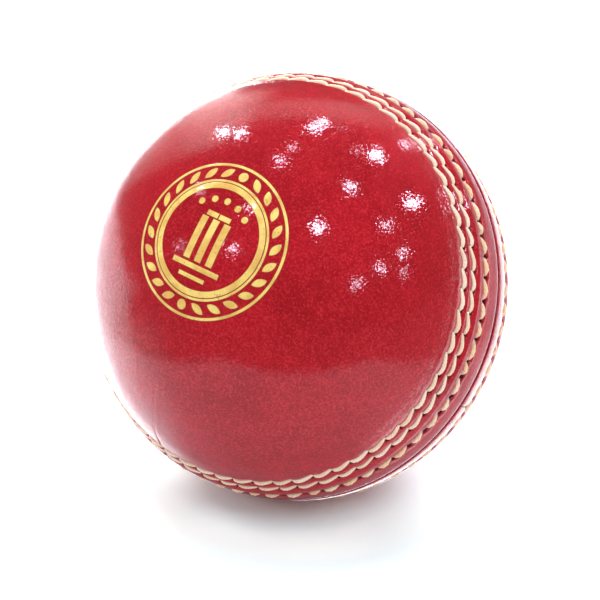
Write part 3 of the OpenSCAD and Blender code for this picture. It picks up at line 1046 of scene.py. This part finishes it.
def bright_sides(t, hx, hy, past):
    """The tall windows left and right of the ball and the bright backdrop behind it; past is
    how far the mirrored spot lies on the plain cup's side of the seam."""
    across = t.math("ADD", hx, t.math("MULTIPLY", hy, 0.133))
    low = t.math("MULTIPLY", t.remap(hy, -0.28, -0.06, 1.0, 0.0), t.remap(across, -0.80, -0.60, 0.85, 0.0))
    tall = t.math("MULTIPLY", t.remap(across, -0.825, -0.765, WINDOW, 0.0), t.remap(hy, -0.60, -0.30, 0.55, 1.0))
    left = t.math("ADD", t.math("MAXIMUM", tall, low), t.remap(across, -0.97, -0.84, WINDOW * 0.5, 0.0))
    right = t.math("MULTIPLY", t.remap(hx, 0.775, 0.820, 0.0, RIGHT_SOFT), t.remap(hx, 0.875, 0.900, 1.0, 0.0))
    between = t.math("MULTIPLY", t.remap(past, -0.370, -0.320), t.remap(past, -0.215, -0.170, 1.0, 0.0))
    between = t.math("MULTIPLY", between, t.remap(hx, 0.25, 0.45, 0.0, BETWEEN_ROWS))
    right = t.math("MULTIPLY", t.math("ADD", right, between), t.remap(hy, 0.10, 0.34, 1.0, 0.25))
    rr = t.math("SQRT", t.math("ADD", t.math("MULTIPLY", hx, hx), t.math("MULTIPLY", hy, hy)))
    rim = t.math("MULTIPLY", t.math("MULTIPLY", t.remap(rr, 0.940, 0.978, 0.0, RIM), t.remap(hx, -0.40, -0.22, 1.0, 0.0)),
                 t.math("MULTIPLY", t.remap(hy, -0.50, -0.22, 0.20, 1.0), t.remap(hy, -0.98, -0.62, 0.45, 1.0)))
    crown = t.math("MULTIPLY", t.math("MULTIPLY", t.remap(rr, 0.976, 0.990, 0.0, RIM), t.remap(hx, 0.12, 0.28, 1.0, 0.0)),
                   t.math("MULTIPLY", t.remap(hy, 0.60, 0.80), t.remap(hx, -0.40, -0.22)))
    far = t.remap(past, 0.030, 0.060, 0.0, FAR_SIDE)
    return t.math("ADD", t.math("ADD", left, right), t.math("ADD", t.math("ADD", rim, crown), far))


def floor_piece():
    me = bpy.data.meshes.new("floor")
    s = 3.0
    n = 24
    v = np.linspace(-s, s, n + 1)
    gx, gy = np.meshgrid(v, v, indexing="ij")
    verts = np.stack([gx, gy, np.full_like(gx, FLOOR_Z)], -1).reshape(-1, 3)
    ids = np.arange((n + 1) ** 2).reshape(n + 1, n + 1)
    q = np.stack([ids[:-1, :-1], ids[1:, :-1], ids[1:, 1:], ids[:-1, 1:]], -1).reshape(-1, 4)
    me.from_pydata([tuple(map(float, p)) for p in verts], [], [tuple(map(int, f)) for f in q])
    m, t = material("pale_floor")
    geo = t.add("ShaderNodeNewGeometry")
    pos = geo.outputs["Position"]
    n1 = t.noise(t.vmath("SCALE", pos, scale=1000.0), 0.02, 3.0)
    col = t.mix(n1, (0.88, 0.875, 0.88), (0.915, 0.91, 0.91))
    # painted reflection: to rays mirrored off the ball the floor shows a pale sheet that ends a hand's breadth away,
    # and a darker room beyond
    front = t.vmath("DOT_PRODUCT", pos, tuple(float(c) for c in np.array([math.sin(AZ), -math.cos(AZ), 0])), out=1)
    side = t.math("ABSOLUTE", t.vmath("DOT_PRODUCT", pos, tuple(float(c) for c in CAM_R), out=1))
    edge = t.math("MULTIPLY", t.remap(front, SHEET_FRONT - 0.012, SHEET_FRONT + 0.012, 1.0, 0.0),
                  t.remap(side, SHEET_SIDE - 0.010, SHEET_SIDE + 0.010, 1.0, 0.0))
    back = t.remap(front, -0.05, 0.0, 1.0, 0.0)
    near = t.math("MAXIMUM", edge, back)
    ray = t.add("ShaderNodeLightPath")
    mirrored = t.mix(near, (0.03, 0.028, 0.03), MIRRORED_FLOOR)
    hx, hy, past = mirrored_at(t, t.vmath("SCALE", geo.outputs["Incoming"], scale=-1.0))
    # painted reflection: the mirrored floor is dimmed towards the ball's right side
    dull = t.math("MULTIPLY", t.remap(hx, 0.45, 0.60, 1.0, 0.82), t.remap(hx, 0.78, 0.88, 1.0, 0.62))
    col = t.mix(ray.outputs["Is Glossy Ray"], col, t.mix(dull, (0.0, 0.0, 0.0), mirrored))
    # painted shadow: for camera rays only, rings round the point where the ball rests are darkened, lightened and
    # retinted
    out = t.vmath("LENGTH", t.vmath("SUBTRACT", pos, (0.0, 0.0, FLOOR_Z)), out=1)
    seen = t.mix(t.math("MULTIPLY", t.remap(out, 0.010, 0.019), t.remap(out, 0.06, 0.14, 1.0, 0.0)), SEEN_FLOOR, SHADOW_PAINT_NEAR)
    across = t.vmath("DOT_PRODUCT", pos, tuple(float(c) for c in CAM_R), out=1)
    ring = t.math("MULTIPLY", t.math("MULTIPLY", t.remap(out, 0.0195, 0.0245), t.remap(out, 0.028, 0.034, 1.0, 0.0)),
                  t.remap(across, 0.008, 0.016, 0.33, 0.10))
    left = t.math("MULTIPLY", t.math("MULTIPLY", t.remap(out, 0.0165, 0.0205), t.remap(out, 0.023, 0.028, 1.0, 0.0)),
                  t.remap(across, -0.014, -0.004, 0.67, 0.0))
    seen = t.mix(left, t.mix(ring, seen, SHADOW_PAINT_EDGE), SHADOW_PAINT_LEFT)
    # painted contact shadow just round the point where the ball rests
    seen = t.mix(t.remap(out, 0.008, 0.0155, 1.0, 0.0), seen, SHADOW_PAINT_CONTACT)
    col = t.mix(ray.outputs["Is Camera Ray"], col, seen)
    # painted reflection: for mirrored rays only, the floor glows with the windows and the backdrop
    t.principled(Base_Color=col, Roughness=t.remap(n1, 0.3, 0.7, 0.5, 0.6), Specular_IOR_Level=0.15,
                 Emission_Color=(0.97, 0.97, 1.0),
                 Emission_Strength=t.math("MULTIPLY", bright_sides(t, hx, hy, past), ray.outputs["Is Glossy Ray"]))
    me.materials.append(m)
    o = bpy.data.objects.new("floor", me)
    bpy.context.scene.collection.objects.link(o)


WINDOW, BAND_LIGHT, WIDE_LIGHT = 1.68, 0.76, 1.95
RIGHT_SOFT, BETWEEN_ROWS, RIM, FAR_SIDE = 0.4, 2.6, 5.0, 2.4
# where the painted reflection's pale sheet ends, in front and to the sides
SHEET_FRONT, SHEET_SIDE = 0.139, 0.098
MIRRORED_FLOOR = (0.52, 0.52, 0.60)
SEEN_FLOOR = (1.17, 1.235, 1.25)
# painted lift and retint of the floor's shadow and the painted contact shadow, seen by the camera only
SHADOW_PAINT_NEAR = (1.10, 1.32, 1.38)
SHADOW_PAINT_EDGE = (1.60, 1.72, 1.68)
SHADOW_PAINT_LEFT = (1.44, 1.78, 1.84)
SHADOW_PAINT_CONTACT = (0.72, 0.53, 0.54)
floor_piece()

# lamps as the lacquer mirrors them: place on the ball's face (x right, y up, in ball radii),
# radius and strength
PX = 1 / 209.5
LAMPS = [(225, 136, 6.0, 1.0), (241, 138, 5.0, 1.0), (314, 131, 6.0, 0.9), (323, 126, 4.5, 0.9), (292, 151, 4.0, 0.4),
         (279, 164, 4.5, 0.9), (356, 154, 2.4, 0.5), (374, 158, 7.6, 1.25), (349, 190, 5.5, 1.0),
         (407, 205, 7.0, 0.9), (415, 204, 4.0, 0.8), (317, 230, 7.0, 1.05), (384, 228, 5.0, 0.7), (399, 254, 4.5, 0.7),
         (378, 268, 5.0, 0.7), (401, 273, 3.5, 0.4), (355, 283, 6.0, 0.45), (441, 196, 3.2, 0.5), (445, 210, 3.2, 0.5),
         (402, 146, 4.5, 0.35), (417, 149, 4.0, 0.45), (341, 132, 2.5, 0.5), (203, 190, 4.5, 0.6), (253, 210, 5.0, 0.75),
         (236, 249, 5.0, 0.6), (183, 248, 4.0, 0.25)]


def world():
    w = bpy.data.worlds.new("studio")
    bpy.context.scene.world = w
    w.use_nodes = True
    w.cycles.sampling_method = "NONE"
    t = Nodes(w.node_tree)
    d = t.add("ShaderNodeTexCoord").outputs["Generated"]
    hx, hy, past = mirrored_at(t, d)
    flat = t.add("ShaderNodeCombineXYZ")
    t.set(flat.inputs[0], hx)
    t.set(flat.inputs[1], hy)
    up = t.vmath("DOT_PRODUCT", d, (0.0, 0.0, 1.0), out=1)
    total = None
    for x, y, r, k in LAMPS:
        p = ((x - 296.2) * PX, (286.6 - y) * PX, 0.0)
        dist = t.vmath("DISTANCE", flat.outputs[0], p, out=1)
        v = t.remap(dist, r * 0.48 * PX, r * 0.88 * PX, LAMP_STRENGTH * k, 0.0)
        total = v if total is None else t.math("ADD", total, v)
    # the tall window to the left and behind
    window = bright_sides(t, hx, hy, past)
    # the pale band above and behind
    bend = t.math("ADD", t.math("MULTIPLY", t.math("MULTIPLY", hx, hx), 0.367), t.math("MULTIPLY", hx, -0.0186))
    off = t.math("SUBTRACT", t.math("ADD", hy, bend), 0.8325)
    band = t.math("MULTIPLY", t.remap(off, -0.060, -0.030), t.remap(off, 0.030, 0.060, 1.0, 0.0))
    band = t.math("MULTIPLY", band, t.remap(hx, 0.25, 0.55, 1.0, 0.0))
    lower = t.math("SUBTRACT", off, t.remap(hx, -0.36, -0.12, -0.11, -0.02))
    wide = t.math("MULTIPLY", t.remap(lower, -0.035, 0.030), t.remap(hx, -0.30, -0.06, WIDE_LIGHT, 0.0))
    wide = t.math("MULTIPLY", wide, t.remap(hx, -0.62, -0.36, 0.28, 1.0))
    wide = t.math("MULTIPLY", wide, t.math("MAXIMUM", t.remap(off, 0.085, 0.130, 1.0, 0.0), t.remap(hx, -0.31, -0.20, 1.0, 0.0)))
    band = t.math("MAXIMUM", t.math("MULTIPLY", band, BAND_LIGHT), wide)
    room = t.remap(up, -0.25, 0.9, ROOM_LOW, ROOM_HIGH)
    gloss = t.math("ADD", room, t.math("MAXIMUM", window, band))
    soft = t.remap(up, -0.1, 1.0, SOFT_LOW, SOFT_HIGH, soft=False)
    ray = t.add("ShaderNodeLightPath")
    v = t.math("ADD", t.math("MULTIPLY", gloss, ray.outputs["Is Glossy Ray"]),
               t.math("MULTIPLY", soft, t.math("SUBTRACT", 1.0, ray.outputs["Is Glossy Ray"])))
    both = t.add("ShaderNodeAddShader")
    for i, (strength, colour) in enumerate(((v, (1.0, 0.985, 0.97, 1.0)),
                                            (t.math("MULTIPLY", total, ray.outputs["Is Glossy Ray"]), LAMP_COLOUR))):
        bg = t.add("ShaderNodeBackground")
        t.set(bg.inputs["Strength"], strength)
        bg.inputs["Color"].default_value = colour
        t.t.links.new(bg.outputs[0], both.inputs[i])
    out = t.add("ShaderNodeOutputWorld")
    t.t.links.new(both.outputs[0], out.inputs[0])


LAMP_STRENGTH = 60.0
LAMP_COLOUR = (0.84, 0.80, 1.0, 1.0)
ROOM_LOW, ROOM_HIGH = 0.03, 0.02
SOFT_LOW, SOFT_HIGH = 0.55, 0.85
world()


def area(name, place, size, watts, colour=(1, 1, 1)):
    l = bpy.data.lights.new(name, "AREA")
    l.shape = "DISK"
    l.size = size
    l.energy = watts
    l.color = colour
    o = bpy.data.objects.new(name, l)
    bpy.context.scene.collection.objects.link(o)
    o.location = Vector([float(c) for c in place])
    o.rotation_euler = Vector([float(c) for c in place]).to_track_quat("Z", "Y").to_euler()
    o.visible_glossy = False
    o.visible_camera = False
    return o


# over the ball and a little behind, and a weaker one over the camera's shoulder
area("top_light", CAM_R * -0.10 + np.array([0, 0, 0.95]) - CAM_V * 0.12, 0.55, 4.6)
area("front_light", CAM_V * 0.8 + CAM_U * 0.35 + CAM_R * 0.25, 0.40, 2.2)
# windows behind the ball, to the left and to the right
area("left_light", CAM_R * -0.85 - CAM_V * 0.25 + np.array([0, 0, 0.25]), 0.5, 2.0)
area("right_light", CAM_R * 0.70 - CAM_V * 0.60 + np.array([0, 0, 0.35]), 0.4, 1.4)
# haze of the bright backdrop on the threads at the ball's edge
threads_only = bpy.data.collections.new("lit_by_haze")
for o in bpy.context.scene.objects:
    if o.type == "MESH" and "_thread_" in o.name:
        threads_only.objects.link(o)
for name, place, watts in (("haze_left", CAM_R * -0.55 + CAM_U * 0.35 - CAM_V * 0.60, 20.0),
                           ("haze_right", CAM_R * 0.55 - CAM_V * 0.85, 12.0)):
    area(name, place, 0.6, watts).light_linking.receiver_collection = threads_only
area("back_light", CAM_U * 0.60 - CAM_V * 0.53 + CAM_R * 0.08, 0.4, 6.2)

sc = bpy.context.scene
sc.view_settings.view_transform = "Standard"
sc.view_settings.look = "None"
sc.view_settings.exposure = 0.0
sc.view_settings.gamma = 1.0
